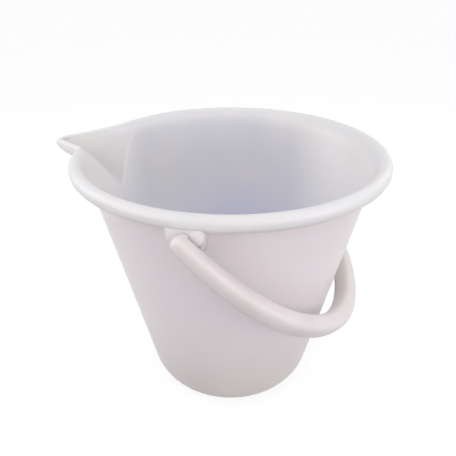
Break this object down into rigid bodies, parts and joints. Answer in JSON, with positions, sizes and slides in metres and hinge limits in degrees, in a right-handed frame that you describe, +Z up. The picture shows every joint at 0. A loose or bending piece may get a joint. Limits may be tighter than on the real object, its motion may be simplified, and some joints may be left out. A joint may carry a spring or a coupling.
{
  "type": "calf feeding bucket",
  "caption": "Tapered moulded plastic bucket with a rolled rim, a pointed pouring spout and a thick swinging bail handle, for carrying and pouring milk or feed to calves",
  "frame": {"origin": "centre of the flat underside of the bucket, on the axis of its wall", "axes": "+Z up along the axis of the wall; the axis of the bail runs along Y, with an ear at -Y and one at +Y; the spout points along -X, 4.4 degrees towards +Y; at rest the bail hangs on the +X side"},
  "size_m": [0.3698, 0.3516, 0.2809],
  "materials": {
    "natural_polyethylene": "satin, undyed and milky",
    "ivory_polypropylene": "satin, undyed and slightly creamy"
  },
  "bodies": {
    "bucket": {"bucket_body": "natural_polyethylene"},
    "bail": {"bail_handle": "ivory_polypropylene"}
  },
  "joints": [
    {"name": "bail_swing", "type": "hinge", "parent": "bucket", "child": "bail", "pos_m": [0, 0, 0.2632], "axis": [0, -1, 0], "range_deg": [-3.3, 219.5]}
  ]
}
